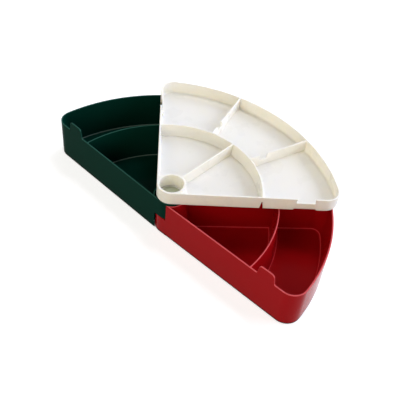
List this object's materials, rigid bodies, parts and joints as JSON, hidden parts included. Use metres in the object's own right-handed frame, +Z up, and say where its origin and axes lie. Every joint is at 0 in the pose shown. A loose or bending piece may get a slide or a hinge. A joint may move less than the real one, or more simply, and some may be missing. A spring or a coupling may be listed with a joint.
{
  "type": "candy box",
  "caption": "Fan-shaped snack box: two deep lower boxes swing out about an upright pivot from under a shallow divided top tray.",
  "frame": {"origin": "the point where the pivot axis meets the surface that the boxes stand on", "axes": "+Z up along the pivot axis, +Y along the middle of the top tray away from the pivot, +X towards the red box"},
  "size_m": [0.3301, 0.1741, 0.0576],
  "materials": {
    "white_plastic": "gloss",
    "red_plastic": "gloss",
    "green_plastic": "gloss",
    "plated_steel": "satin"
  },
  "bodies": {
    "tray": {"top_tray": "white_plastic", "hub_cap": "white_plastic"},
    "red": {"red_box": "red_plastic", "pivot_washer": "plated_steel", "pivot_screw": "plated_steel"},
    "green": {"green_box": "green_plastic"}
  },
  "joints": [
    {"name": "red_box_swing", "type": "hinge", "parent": "tray", "child": "red", "pos_m": [0, 0, 0], "axis": [0, 0, 1], "range_deg": [-1.7, 43.3]},
    {"name": "green_box_swing", "type": "hinge", "parent": "tray", "child": "green", "pos_m": [0, 0, 0], "axis": [0, 0, -1], "range_deg": [-0.3, 44.7]}
  ]
}
